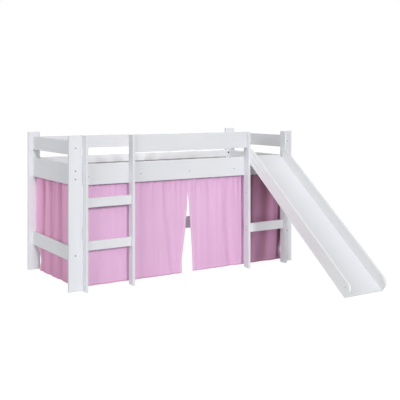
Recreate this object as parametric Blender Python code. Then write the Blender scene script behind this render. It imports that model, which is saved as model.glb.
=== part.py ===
"""Loft bed with a slide: a bolted board frame, a front ladder, a straight slide and play curtains.

Run with: blender --background --python part.py
Units are metres and +Z is up. X runs along the bed, Y from the slide's toe to the back.
The pieces are measured from the bed's front left corner on the floor, and one empty shifts
them so that the origin is the middle of the floor area that the whole object covers.
"""

import math

import bmesh
import bpy
from mathutils import Vector

# Overall sizes of the bed frame, without the slide
BED_LENGTH = 2.050
BED_WIDTH = 0.878
BED_HEIGHT = 1.122

# Fitting gap between pieces that touch, and the overrun of every cutter
FIT_GAP = 0.0003
CUT_OVERRUN = 0.010

# Corner posts: flat boards with their wide face to the front and the back
POST_WIDTH = 0.100
POST_THICK = 0.026

# Boards between the posts
END_BOARD_THICK = 0.019
GUARD_HEIGHT = 0.105
GUARD_SETDOWN = 0.038
GUARD_GAP = 0.0665
BED_RAIL_HEIGHT = 0.152
LOW_BOARD_HEIGHT = 0.108
LOW_BOARD_BOTTOM = 0.205

# Upright stiles that carry the ladder, the front guard and the slide
STILE_THICK = 0.019
STILE_DEPTH = 0.068
LADDER_CLEAR_WIDTH = 0.356
LADDER_TO_POST = 0.0
SLIDE_CLEAR_WIDTH = 0.364
SLIDE_TO_POST = 0.009

# Ladder rungs, the crossbar under the slide, and the guard board between ladder and slide
RUNG_HEIGHT = 0.0685
RUNG_THICK = 0.019
FIRST_RUNG_BOTTOM = 0.2935
RUNG_RISE = 0.310
RUNG_COUNT = 2
CROSSBAR_HEIGHT = 0.073
FRONT_GUARD_HEIGHT = 0.1325

# Slat bed: cleats on the two bed rails, and loose slats on them
CLEAT_HEIGHT = 0.035
CLEAT_THICK = 0.026
CLEAT_RISE = 0.031
SLAT_WIDTH = 0.070
SLAT_THICK = 0.015
SLAT_PITCH = 0.136
SLAT_END_PLAY = 0.002

# Slide
SLIDE_SLOPE = math.radians(38.0)
FLANK_WIDTH = 0.107
FLANK_THICK = 0.018
SLIDE_ABOVE_RAIL = 0.1265
FLANK_END_SETBACK = 0.045
CHUTE_END_SETBACK = 0.015
FLANK_FOOT_LENGTH = 0.012
FLANK_TOE_RADIUS = 0.050
FLANK_TIP_RADIUS = 0.020
CHUTE_DEPTH = 0.084
CHUTE_THICK = 0.012
CHUTE_GROOVE = 0.006
SLIDE_BATTEN_WIDTH = 0.060
SLIDE_BATTEN_THICK = 0.008
SLIDE_BATTEN_INSET = 0.050
SLIDE_BATTEN_COUNT = 3

# Sunk seats of the frame bolts in the posts
BOLT_SEAT_RADIUS = 0.0075
BOLT_SEAT_DEPTH = 0.004
BOLT_SEAT_SIDES = 12
RAIL_BOLT_SPACING = 0.059

# Eased edges of the boards
BOARD_EASE = 0.0025
SLAT_EASE = 0.0015
THIN_EASE = 0.0010

# Curtains, gathered on strips behind the bed rails
STRIP_HEIGHT = 0.022
STRIP_THICK = 0.012
STRIP_RISE = 0.004
CLOTH_THICK = 0.0025
CLOTH_HEM_HEIGHT = 0.018
CLOTH_OVER_STRIP = 0.004
GATHER_DEPTH = 0.005
GATHER_SPACING = 0.052
GATHER_FADE_SHARE = 0.80
GATHER_DRIFT_TURNS = 5.0
FRONT_FOLD_DEPTH = 0.012
END_FOLD_DEPTH = 0.011
FOLD_FULL_DROP = 0.330
VALLEY_SHARPNESS = 1.5
CURTAIN_START = 0.022
CURTAIN_CORNER = 0.076
CURTAIN_BACK_GAP = 0.008
SLIT_CENTRE = 1.0145
SLIT_DROP = 0.1445
SLIT_HALF_OPENING = 0.052
SLIT_OVERLAP_GAP = 0.0012
CURL_DEPTH = 0.052
CURL_TOP = 0.330
CURL_CENTRE = 0.115
RIGHT_CURL_DEPTH = 0.018
FRONT_COLUMNS = 62
END_COLUMNS = 54
CLOTH_ROWS = 9

# Valley lines of the broad folds: each as its share of the panel's width, at the top and the hem
FRONT_LEFT_VALLEY_SHARES = (
    (-0.08, -0.08), (0.13, 0.13), (0.33, 0.35), (0.57, 0.605), (0.78, 0.88), (1.12, 1.16)
)
FRONT_RIGHT_VALLEY_SHARES = (
    (-0.12, -0.12), (0.21, 0.17), (0.375, 0.40), (0.57, 0.57), (0.755, 0.77), (0.93, 0.95), (1.12, 1.12)
)
END_LEFT_VALLEY_SHARES = (
    (-0.02, -0.02), (0.226, 0.243), (0.381, 0.41), (0.631, 0.69), (0.88, 0.96), (1.14, 1.20)
)
END_RIGHT_VALLEY_SHARES = (
    (-0.06, -0.06), (0.17, 0.18), (0.40, 0.39), (0.62, 0.64), (0.85, 0.84), (1.10, 1.10)
)

# Places worked out from the sizes above
GUARD_TOP = BED_HEIGHT - GUARD_SETDOWN
GUARD_BOTTOM = GUARD_TOP - GUARD_HEIGHT
BED_RAIL_TOP = GUARD_BOTTOM - GUARD_GAP
BED_RAIL_BOTTOM = BED_RAIL_TOP - BED_RAIL_HEIGHT
LOW_BOARD_TOP = LOW_BOARD_BOTTOM + LOW_BOARD_HEIGHT
FLANK_TOP_AT_RAIL = BED_RAIL_TOP + SLIDE_ABOVE_RAIL
INNER_FRONT = POST_THICK
INNER_BACK = BED_WIDTH - POST_THICK
END_OUTER = (POST_WIDTH - END_BOARD_THICK) / 2
END_INNER = END_OUTER + END_BOARD_THICK
LEFT_INNER = END_INNER
RIGHT_INNER = BED_LENGTH - END_INNER
STILE_BACK = -FIT_GAP
STILE_FRONT = STILE_BACK - STILE_DEPTH
LADDER_LEFT = POST_WIDTH + LADDER_TO_POST
LADDER_RIGHT = LADDER_LEFT + STILE_THICK + LADDER_CLEAR_WIDTH
SLIDE_RIGHT = BED_LENGTH - POST_WIDTH - SLIDE_TO_POST - STILE_THICK
SLIDE_LEFT = SLIDE_RIGHT - SLIDE_CLEAR_WIDTH - STILE_THICK
RUNG_BACK = (STILE_FRONT + STILE_BACK + RUNG_THICK) / 2
RUNG_FRONT = RUNG_BACK - RUNG_THICK
CLEAT_BOTTOM = BED_RAIL_BOTTOM + CLEAT_RISE
CLEAT_TOP = CLEAT_BOTTOM + CLEAT_HEIGHT
SLAT_BOTTOM = CLEAT_TOP + FIT_GAP
STRIP_BOTTOM = BED_RAIL_BOTTOM + STRIP_RISE
STRIP_TOP = STRIP_BOTTOM + STRIP_HEIGHT
CLOTH_TOP = STRIP_TOP + CLOTH_OVER_STRIP
CLOTH_DROP = CLOTH_TOP - CLOTH_HEM_HEIGHT
SLIT_TOP = CLOTH_TOP - SLIT_DROP

# Slide directions in the plane of its flanks: down the slope, and square to it
DOWN_SLOPE = Vector((-math.cos(SLIDE_SLOPE), -math.sin(SLIDE_SLOPE)))
ACROSS_SLOPE = Vector((math.sin(SLIDE_SLOPE), -math.cos(SLIDE_SLOPE)))


def clear_scene():
    for old in list(bpy.data.objects):
        bpy.data.objects.remove(old, do_unlink=True)


def finish(name, colour, roughness, metallic=0.0):
    """One Principled BSDF material."""
    material = bpy.data.materials.new(name)
    material.use_nodes = True
    shader = material.node_tree.nodes["Principled BSDF"]
    shader.inputs["Base Color"].default_value = (*colour, 1.0)
    shader.inputs["Roughness"].default_value = roughness
    shader.inputs["Metallic"].default_value = metallic
    return material


def white_lacquer():
    return finish("white_lacquer", (0.80, 0.80, 0.81), 0.45)


def slide_lacquer():
    return finish("slide_lacquer", (0.82, 0.82, 0.83), 0.30)


def bare_pine():
    return finish("bare_pine", (0.72, 0.55, 0.36), 0.60)


def pink_cotton():
    return finish("pink_cotton", (0.74, 0.42, 0.66), 0.90)


def make_object(name, mesh_builder, material, origin, place):
    """A named object from a bmesh, placed in the bed's own frame."""
    mesh = bpy.data.meshes.new(name)
    bmesh.ops.recalc_face_normals(mesh_builder, faces=mesh_builder.faces)
    mesh_builder.to_mesh(mesh)
    mesh_builder.free()
    mesh.materials.append(material)
    piece = bpy.data.objects.new(name, mesh)
    bpy.context.scene.collection.objects.link(piece)
    piece.location = place
    piece.parent = origin
    return piece


def ease_edges(piece, width, steps):
    """Rounds the long edges and the ends of a board."""
    ease = piece.modifiers.new("eased_edges", "BEVEL")
    ease.width = width
    ease.segments = steps
    ease.limit_method = "ANGLE"
    ease.angle_limit = math.radians(30.0)


def board(name, low, high, material, origin, ease=BOARD_EASE, steps=2):
    """A rectangular board between two corners, with eased edges."""
    low = Vector(low)
    high = Vector(high)
    shape = bmesh.new()
    bmesh.ops.create_cube(shape, size=1.0)
    bmesh.ops.scale(shape, vec=high - low, verts=shape.verts)
    piece = make_object(name, shape, material, origin, (low + high) / 2)
    ease_edges(piece, ease, steps)
    return piece


def cut(piece, cutter):
    """Subtracts a hidden cutter from a piece."""
    cutter.hide_render = True
    cutter.display_type = "WIRE"
    difference = piece.modifiers.new("cut_" + cutter.name, "BOOLEAN")
    difference.operation = "DIFFERENCE"
    difference.solver = "EXACT"
    difference.object = cutter


def bolt_heights():
    """Heights of the bolts that hold the three end boards to a post."""
    rail_centre = BED_RAIL_BOTTOM + BED_RAIL_HEIGHT / 2
    return [
        LOW_BOARD_BOTTOM + LOW_BOARD_HEIGHT / 2,
        rail_centre - RAIL_BOLT_SPACING / 2,
        rail_centre + RAIL_BOLT_SPACING / 2,
        GUARD_BOTTOM + GUARD_HEIGHT / 2,
    ]


def bolt_seats(name, centre_x, face_y, material, origin):
    """The sunk round seats of one post's bolts, as one cutter."""
    shape = bmesh.new()
    for height in bolt_heights():
        made = bmesh.ops.create_cone(
            shape,
            cap_ends=True,
            segments=BOLT_SEAT_SIDES,
            radius1=BOLT_SEAT_RADIUS,
            radius2=BOLT_SEAT_RADIUS,
            depth=BOLT_SEAT_DEPTH * 2,
        )
        for vert in made["verts"]:
            across, along, up = vert.co
            vert.co = (across, up, along + height)
    return make_object(name, shape, material, origin, (centre_x, face_y, 0.0))


def corner_posts(material, origin):
    sides = {"left": 0.0, "right": BED_LENGTH - POST_WIDTH}
    rows = {"front": 0.0, "back": INNER_BACK}
    for row, near_y in rows.items():
        for side, low_x in sides.items():
            post = board(
                f"post_{row}_{side}",
                (low_x, near_y, 0.0),
                (low_x + POST_WIDTH, near_y + POST_THICK, BED_HEIGHT),
                material,
                origin,
            )
            outer_y = 0.0 if row == "front" else BED_WIDTH
            seats = bolt_seats(
                f"cutter_bolts_{row}_{side}", low_x + POST_WIDTH / 2, outer_y, material, origin
            )
            cut(post, seats)


def end_boards(material, origin):
    """Guard, bed board and low board at each end, held between the posts."""
    levels = {
        "end_guard": (GUARD_BOTTOM, GUARD_TOP),
        "end_rail": (BED_RAIL_BOTTOM, BED_RAIL_TOP),
        "end_low_board": (LOW_BOARD_BOTTOM, LOW_BOARD_TOP),
    }
    sides = {"left": END_OUTER, "right": BED_LENGTH - END_INNER}
    for side, low_x in sides.items():
        for kind, (bottom, top) in levels.items():
            board(
                f"{kind}_{side}",
                (low_x, INNER_FRONT + FIT_GAP, bottom),
                (low_x + END_BOARD_THICK, INNER_BACK - FIT_GAP, top),
                material,
                origin,
            )


def long_boards(material, origin):
    """Bed rails front and back, and the back's guard and low board."""
    low_x = POST_WIDTH + FIT_GAP
    high_x = BED_LENGTH - POST_WIDTH - FIT_GAP
    levels = {
        "bed_rail_front": (0.0, BED_RAIL_BOTTOM, BED_RAIL_TOP),
        "bed_rail_back": (INNER_BACK, BED_RAIL_BOTTOM, BED_RAIL_TOP),
        "back_guard": (INNER_BACK, GUARD_BOTTOM, GUARD_TOP),
        "back_low_board": (INNER_BACK, LOW_BOARD_BOTTOM, LOW_BOARD_TOP),
    }
    for name, (near_y, bottom, top) in levels.items():
        board(name, (low_x, near_y, bottom), (high_x, near_y + POST_THICK, top), material, origin)


def stiles(material, origin):
    places = {
        "ladder_stile_left": LADDER_LEFT,
        "ladder_stile_right": LADDER_RIGHT,
        "slide_stile_left": SLIDE_LEFT,
        "slide_stile_right": SLIDE_RIGHT,
    }
    for name, low_x in places.items():
        board(
            name,
            (low_x, STILE_FRONT, 0.0),
            (low_x + STILE_THICK, STILE_BACK, BED_HEIGHT),
            material,
            origin,
        )


def cross_board(name, left_stile, right_stile, bottom, top, material, origin):
    """A board on edge between two stiles, in the middle of their depth."""
    board(
        name,
        (left_stile + STILE_THICK + FIT_GAP, RUNG_FRONT, bottom),
        (right_stile - FIT_GAP, RUNG_BACK, top),
        material,
        origin,
    )


def rungs_and_front_guard(material, origin):
    for step in range(RUNG_COUNT):
        bottom = FIRST_RUNG_BOTTOM + step * RUNG_RISE
        top = bottom + RUNG_HEIGHT
        cross_board(
            f"ladder_rung_{step + 1}", LADDER_LEFT, LADDER_RIGHT, bottom, top, material, origin
        )
    bottom = FIRST_RUNG_BOTTOM
    top = bottom + CROSSBAR_HEIGHT
    cross_board("slide_crossbar", SLIDE_LEFT, SLIDE_RIGHT, bottom, top, material, origin)
    bottom = BED_HEIGHT - FRONT_GUARD_HEIGHT
    cross_board("front_guard", LADDER_RIGHT, SLIDE_LEFT, bottom, BED_HEIGHT, material, origin)


def slat_bed(material, origin):
    """Two cleats along the bed rails, and the slats that lie across them."""
    low_x = LEFT_INNER + FIT_GAP
    high_x = RIGHT_INNER - FIT_GAP
    rows = {
        "slat_cleat_front": INNER_FRONT + FIT_GAP,
        "slat_cleat_back": INNER_BACK - FIT_GAP - CLEAT_THICK,
    }
    for name, near_y in rows.items():
        board(
            name,
            (low_x, near_y, CLEAT_BOTTOM),
            (high_x, near_y + CLEAT_THICK, CLEAT_TOP),
            material,
            origin,
            SLAT_EASE,
            1,
        )
    span = high_x - low_x - SLAT_WIDTH
    count = int(span / SLAT_PITCH) + 1
    first_x = (low_x + high_x - SLAT_WIDTH - (count - 1) * SLAT_PITCH) / 2
    for index in range(count):
        slat_x = first_x + index * SLAT_PITCH
        board(
            f"slat_{index + 1:02d}",
            (slat_x, INNER_FRONT + SLAT_END_PLAY, SLAT_BOTTOM),
            (slat_x + SLAT_WIDTH, INNER_BACK - SLAT_END_PLAY, SLAT_BOTTOM + SLAT_THICK),
            material,
            origin,
            SLAT_EASE,
            1,
        )


def line_meet(point_a, way_a, point_b, way_b):
    """Where two lines in a plane cross."""
    across = way_a.x * way_b.y - way_a.y * way_b.x
    offset = point_b - point_a
    along = (offset.x * way_b.y - offset.y * way_b.x) / across
    return point_a + way_a * along


def round_corner(before, corner, after, radius, steps):
    """Points of an arc that rounds one corner of an outline."""
    to_before = (before - corner).normalized()
    to_after = (after - corner).normalized()
    half = to_before.angle(to_after) / 2
    middle = (to_before + to_after).normalized()
    centre = corner + middle * (radius / math.sin(half))
    tangent = radius / math.tan(half)
    start = corner + to_before * tangent - centre
    turn = start.angle_signed(corner + to_after * tangent - centre)
    points = []
    for step in range(steps + 1):
        angle = -turn * step / steps
        spun = Vector((
            start.x * math.cos(angle) - start.y * math.sin(angle),
            start.x * math.sin(angle) + start.y * math.cos(angle),
        ))
        points.append(centre + spun)
    return points


def slope_line(depth):
    """A point on the line that runs down the slide at a depth under its top edge."""
    return Vector((0.0, FLANK_TOP_AT_RAIL)) + ACROSS_SLOPE * depth


def slide_corners():
    """Main corners of a flank in Y and Z: tip, toe, foot and the two ends of its underside."""
    plumb = Vector((0.0, 1.0))
    level = Vector((1.0, 0.0))
    upper_end = Vector((-FLANK_END_SETBACK, 0.0))
    tip = line_meet(slope_line(0.0), DOWN_SLOPE, upper_end, plumb)
    heel = line_meet(slope_line(FLANK_WIDTH), DOWN_SLOPE, upper_end, plumb)
    foot_back = line_meet(slope_line(FLANK_WIDTH), DOWN_SLOPE, Vector((0.0, 0.0)), level)
    foot_front = foot_back - level * FLANK_FOOT_LENGTH
    toe = line_meet(slope_line(0.0), DOWN_SLOPE, foot_front, ACROSS_SLOPE)
    return tip, toe, foot_front, foot_back, heel


def flank_outline():
    """Side view of a flank: rounded tip and toe, and a flat foot on the floor."""
    tip, toe, foot_front, foot_back, heel = slide_corners()
    outline = round_corner(heel, tip, toe, FLANK_TIP_RADIUS, 6)
    outline += round_corner(tip, toe, foot_front, FLANK_TOE_RADIUS, 8)
    return outline + [foot_front, foot_back, heel]


def slide_reach():
    """How far the slide stands out in front of the bed."""
    return max(-point.x for point in flank_outline())


def prism(name, outline, low_x, high_x, material, origin):
    """An outline in Y and Z, extruded along X."""
    shape = bmesh.new()
    ring = [shape.verts.new((0.0, point.x, point.y)) for point in outline]
    face = shape.faces.new(ring)
    grown = bmesh.ops.extrude_face_region(shape, geom=[face])
    moved = [item for item in grown["geom"] if isinstance(item, bmesh.types.BMVert)]
    bmesh.ops.translate(shape, verts=moved, vec=(high_x - low_x, 0.0, 0.0))
    return make_object(name, shape, material, origin, (low_x, 0.0, 0.0))


def slope_plank(top_depth, bottom_depth, upper_y):
    """Side view of a plank laid down the slope, plumb above and square at the toe."""
    plumb = Vector((0.0, 1.0))
    upper_end = Vector((upper_y, 0.0))
    foot_front = slide_corners()[2]
    upper = [
        line_meet(slope_line(depth), DOWN_SLOPE, upper_end, plumb)
        for depth in (bottom_depth, top_depth)
    ]
    lower = [
        line_meet(slope_line(depth), DOWN_SLOPE, foot_front, ACROSS_SLOPE)
        for depth in (top_depth, bottom_depth)
    ]
    return upper + lower


def slide_flanks(material, origin):
    """Two side boards of the slide, each grooved for the chute."""
    left = SLIDE_LEFT + STILE_THICK + FIT_GAP
    right = SLIDE_RIGHT - FIT_GAP
    places = {"left": (left, left + FLANK_THICK), "right": (right - FLANK_THICK, right)}
    groove_top = CHUTE_DEPTH - FIT_GAP
    groove_bottom = CHUTE_DEPTH + CHUTE_THICK + FIT_GAP
    groove = slope_plank(groove_top, groove_bottom, CUT_OVERRUN)
    for point in groove[2:]:
        point += DOWN_SLOPE * CUT_OVERRUN
    for side, (low_x, high_x) in places.items():
        flank = prism(f"slide_flank_{side}", flank_outline(), low_x, high_x, material, origin)
        ease_edges(flank, BOARD_EASE, 1)
        if side == "left":
            low_cut, high_cut = high_x - CHUTE_GROOVE, high_x + CUT_OVERRUN
        else:
            low_cut, high_cut = low_x - CUT_OVERRUN, low_x + CHUTE_GROOVE
        cutter = prism(f"cutter_groove_{side}", groove, low_cut, high_cut, material, origin)
        cut(flank, cutter)


def slide_chute(material, origin):
    """The board that one slides on: its edges lie in the grooves of the flanks."""
    inset = STILE_THICK + FIT_GAP + FLANK_THICK - CHUTE_GROOVE + FIT_GAP
    outline = slope_plank(CHUTE_DEPTH, CHUTE_DEPTH + CHUTE_THICK, -CHUTE_END_SETBACK)
    chute = prism(
        "slide_chute", outline, SLIDE_LEFT + inset, SLIDE_RIGHT + STILE_THICK - inset, material, origin
    )
    ease_edges(chute, THIN_EASE, 1)


def slide_battens(material, origin):
    """Cross battens under the chute, from the upper end to the toe."""
    inset = STILE_THICK + FIT_GAP + FLANK_THICK + FIT_GAP
    low_x = SLIDE_LEFT + inset
    high_x = SLIDE_RIGHT + STILE_THICK - inset
    top_depth = CHUTE_DEPTH + CHUTE_THICK + FIT_GAP
    tip, toe = slope_plank(top_depth, top_depth + SLIDE_BATTEN_THICK, -FLANK_END_SETBACK)[1:3]
    run = (toe - tip).length - 2 * SLIDE_BATTEN_INSET - SLIDE_BATTEN_WIDTH
    for index in range(SLIDE_BATTEN_COUNT):
        along = SLIDE_BATTEN_INSET + run * index / (SLIDE_BATTEN_COUNT - 1)
        first = tip + DOWN_SLOPE * along
        outline = [
            first,
            first + DOWN_SLOPE * SLIDE_BATTEN_WIDTH,
            first + DOWN_SLOPE * SLIDE_BATTEN_WIDTH + ACROSS_SLOPE * SLIDE_BATTEN_THICK,
            first + ACROSS_SLOPE * SLIDE_BATTEN_THICK,
        ]
        batten = prism(f"slide_batten_{index + 1}", outline, low_x, high_x, material, origin)
        ease_edges(batten, THIN_EASE, 1)


def curtain_strips(material, origin):
    """Strips on the inner faces of the bed rails, which the curtains are gathered on."""
    front_y = INNER_FRONT + FIT_GAP
    board(
        "curtain_strip_front",
        (POST_WIDTH + FIT_GAP, front_y, STRIP_BOTTOM),
        (BED_LENGTH - POST_WIDTH - FIT_GAP, front_y + STRIP_THICK, STRIP_TOP),
        material,
        origin,
        THIN_EASE,
        1,
    )
    sides = {"left": LEFT_INNER + FIT_GAP, "right": RIGHT_INNER - FIT_GAP - STRIP_THICK}
    for side, low_x in sides.items():
        board(
            f"curtain_strip_{side}",
            (low_x, INNER_FRONT + CURTAIN_CORNER, STRIP_BOTTOM),
            (low_x + STRIP_THICK, INNER_BACK - CURTAIN_BACK_GAP, STRIP_TOP),
            material,
            origin,
            THIN_EASE,
            1,
        )


def valley_wave(share, lines):
    """One on a valley line and zero half way between two of them."""
    for near, far in zip(lines, lines[1:]):
        if share <= far:
            break
    turn = math.tau * (share - near) / (far - near)
    return ((1.0 + math.cos(turn)) / 2) ** VALLEY_SHARPNESS


def fold_offset(share, along, drop, fold_depth, valleys, phase):
    """How far the cloth stands behind its strip: small gathers above, broad folds below."""
    loosen = min(drop / FOLD_FULL_DROP, 1.0)
    loosen = loosen * loosen * (3.0 - 2.0 * loosen)
    lowered = drop / CLOTH_DROP
    lines = [top + (hem - top) * lowered for top, hem in valleys]
    gather_turn = math.tau * along / GATHER_SPACING + phase
    drift = math.sin(gather_turn / GATHER_DRIFT_TURNS + phase)
    gather = GATHER_DEPTH * (1.0 - GATHER_FADE_SHARE * loosen)
    gather *= (1.0 + math.sin(gather_turn + drift)) / 2
    return gather + fold_depth * loosen * valley_wave(share, lines)


def cloth_panel(
    name, start, end_at, strip_face, towards, fold_depth, valleys, phase, columns, material, origin
):
    """One gathered curtain as a thin closed sheet.

    start(height) and end_at(height) give the two side edges along the strip. towards is
    the direction, along Y or X, in which the cloth lies behind the strip's face.
    """
    shape = bmesh.new()
    sheets = []
    along_x = towards.y != 0.0
    for layer in (0.0, CLOTH_THICK):
        rows = []
        for row in range(CLOTH_ROWS + 1):
            drop = CLOTH_DROP * row / CLOTH_ROWS
            height = CLOTH_TOP - drop
            first = start(height)
            width = end_at(height) - first
            line = []
            for column in range(columns + 1):
                share = column / columns
                along = first + width * share
                depth = fold_offset(share, along, drop, fold_depth, valleys, phase)
                depth += FIT_GAP + layer
                if along_x:
                    spot = (along, strip_face + towards.y * depth, height)
                else:
                    spot = (strip_face + towards.x * depth, along, height)
                line.append(shape.verts.new(spot))
            rows.append(line)
        sheets.append(rows)
    for rows in sheets:
        for row in range(CLOTH_ROWS):
            for column in range(columns):
                shape.faces.new((
                    rows[row][column],
                    rows[row][column + 1],
                    rows[row + 1][column + 1],
                    rows[row + 1][column],
                ))
    front, back = sheets
    for row in range(CLOTH_ROWS):
        for side in (0, columns):
            shape.faces.new((
                front[row][side], front[row + 1][side], back[row + 1][side], back[row][side]
            ))
    for column in range(columns):
        for row in (0, CLOTH_ROWS):
            shape.faces.new((
                front[row][column], front[row][column + 1], back[row][column + 1], back[row][column]
            ))
    return make_object(name, shape, material, origin, (0.0, 0.0, 0.0))


def slit_half_width(height):
    """Half the opening between the two front curtains: closed above, wider to the hem."""
    if height >= SLIT_TOP:
        return SLIT_OVERLAP_GAP
    share = (SLIT_TOP - height) / (SLIT_TOP - CLOTH_HEM_HEIGHT)
    return SLIT_OVERLAP_GAP + (SLIT_HALF_OPENING - SLIT_OVERLAP_GAP) * share


def edge_curl(height, depth):
    """How far a loose side edge is drawn in, under the low boards."""
    if height >= CURL_TOP:
        return 0.0
    share = (CURL_TOP - height) / (CURL_TOP - CURL_CENTRE)
    return depth * math.sin(min(share, 2.0) * math.pi / 2)


def curtains(material, origin):
    front_face = INNER_FRONT + FIT_GAP + STRIP_THICK
    left_end = POST_WIDTH + CURTAIN_START
    right_end = BED_LENGTH - POST_WIDTH - FIT_GAP
    near_y = INNER_FRONT + CURTAIN_CORNER
    far_y = INNER_BACK - CURTAIN_BACK_GAP
    backwards = Vector((0.0, 1.0, 0.0))
    cloth_panel(
        "curtain_front_left",
        lambda height: left_end,
        lambda height: SLIT_CENTRE - slit_half_width(height),
        front_face,
        backwards,
        FRONT_FOLD_DEPTH,
        FRONT_LEFT_VALLEY_SHARES,
        0.4,
        FRONT_COLUMNS,
        material,
        origin,
    )
    cloth_panel(
        "curtain_front_right",
        lambda height: SLIT_CENTRE + slit_half_width(height),
        lambda height: right_end - edge_curl(height, RIGHT_CURL_DEPTH),
        front_face,
        backwards,
        FRONT_FOLD_DEPTH,
        FRONT_RIGHT_VALLEY_SHARES,
        1.7,
        FRONT_COLUMNS,
        material,
        origin,
    )
    cloth_panel(
        "curtain_end_left",
        lambda height: near_y,
        lambda height: far_y - edge_curl(height, CURL_DEPTH),
        LEFT_INNER + FIT_GAP + STRIP_THICK,
        Vector((1.0, 0.0, 0.0)),
        END_FOLD_DEPTH,
        END_LEFT_VALLEY_SHARES,
        2.6,
        END_COLUMNS,
        material,
        origin,
    )
    cloth_panel(
        "curtain_end_right",
        lambda height: near_y,
        lambda height: far_y,
        RIGHT_INNER - FIT_GAP - STRIP_THICK,
        Vector((-1.0, 0.0, 0.0)),
        END_FOLD_DEPTH,
        END_RIGHT_VALLEY_SHARES,
        3.9,
        END_COLUMNS,
        material,
        origin,
    )


def main():
    clear_scene()
    origin = bpy.data.objects.new("bed_corner", None)
    bpy.context.scene.collection.objects.link(origin)
    origin.location = (-BED_LENGTH / 2, (slide_reach() - BED_WIDTH) / 2, 0.0)
    lacquer = white_lacquer()
    smooth_lacquer = slide_lacquer()
    corner_posts(lacquer, origin)
    end_boards(lacquer, origin)
    long_boards(lacquer, origin)
    stiles(lacquer, origin)
    rungs_and_front_guard(lacquer, origin)
    slat_bed(bare_pine(), origin)
    slide_flanks(smooth_lacquer, origin)
    slide_chute(smooth_lacquer, origin)
    slide_battens(smooth_lacquer, origin)
    curtain_strips(lacquer, origin)
    curtains(pink_cotton(), origin)


main()
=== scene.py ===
"""Loft bed with a slide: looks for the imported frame.

Units are metres and +Z is up. X runs along the bed, Y from the slide's toe to the back.
"""

import math

import bmesh
import bpy
import numpy as np
from mathutils import Matrix, Vector, noise


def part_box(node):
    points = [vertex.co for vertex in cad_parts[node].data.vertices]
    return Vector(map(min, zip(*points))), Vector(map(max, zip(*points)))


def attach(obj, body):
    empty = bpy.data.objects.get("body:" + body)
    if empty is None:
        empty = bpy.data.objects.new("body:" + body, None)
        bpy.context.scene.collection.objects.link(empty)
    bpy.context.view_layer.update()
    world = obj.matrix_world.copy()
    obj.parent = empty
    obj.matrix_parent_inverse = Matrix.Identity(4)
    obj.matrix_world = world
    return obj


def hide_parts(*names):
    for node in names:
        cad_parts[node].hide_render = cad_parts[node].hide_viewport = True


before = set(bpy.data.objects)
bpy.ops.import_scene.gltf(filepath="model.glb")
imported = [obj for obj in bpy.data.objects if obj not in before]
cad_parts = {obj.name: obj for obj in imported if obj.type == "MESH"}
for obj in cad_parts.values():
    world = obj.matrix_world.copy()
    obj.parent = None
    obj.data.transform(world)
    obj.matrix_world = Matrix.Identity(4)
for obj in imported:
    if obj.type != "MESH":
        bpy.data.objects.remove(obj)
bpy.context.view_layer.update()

BODY = "root"


# Places read off the frame

def low(node):
    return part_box(node)[0]


def high(node):
    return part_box(node)[1]


def middle(node):
    lowest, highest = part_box(node)
    return (lowest + highest) / 2


def face_of(node, run, facing):
    """Where a node's face lies that looks toward -run or +run, as facing is below zero or above."""
    corner = low(node) if facing < 0 else high(node)
    return getattr(corner, run)


BED_LEFT = low("post_front_left").x
FRONT_FACE = low("post_front_left").y
RAIL_BOTTOM = low("bed_rail_front").z


# Materials

# The numbers of the sockets by which a Mix node takes and gives colours
MIX_FACTOR = 0
MIX_FIRST = 6
MIX_SECOND = 7
MIX_RESULT = 2

# A wave texture multiplies its place by this, beside its scale, before it takes the sine
WAVE_UNIT = 20.0

# The range that most of a noise lies in
NOISE_RANGE = (0.3, 0.7)

# The dot product of the rounded and the flat normal where edge wear and the painted edge highlight
# start and where they are full
EDGE_TURN = (0.995, 0.90)


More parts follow.
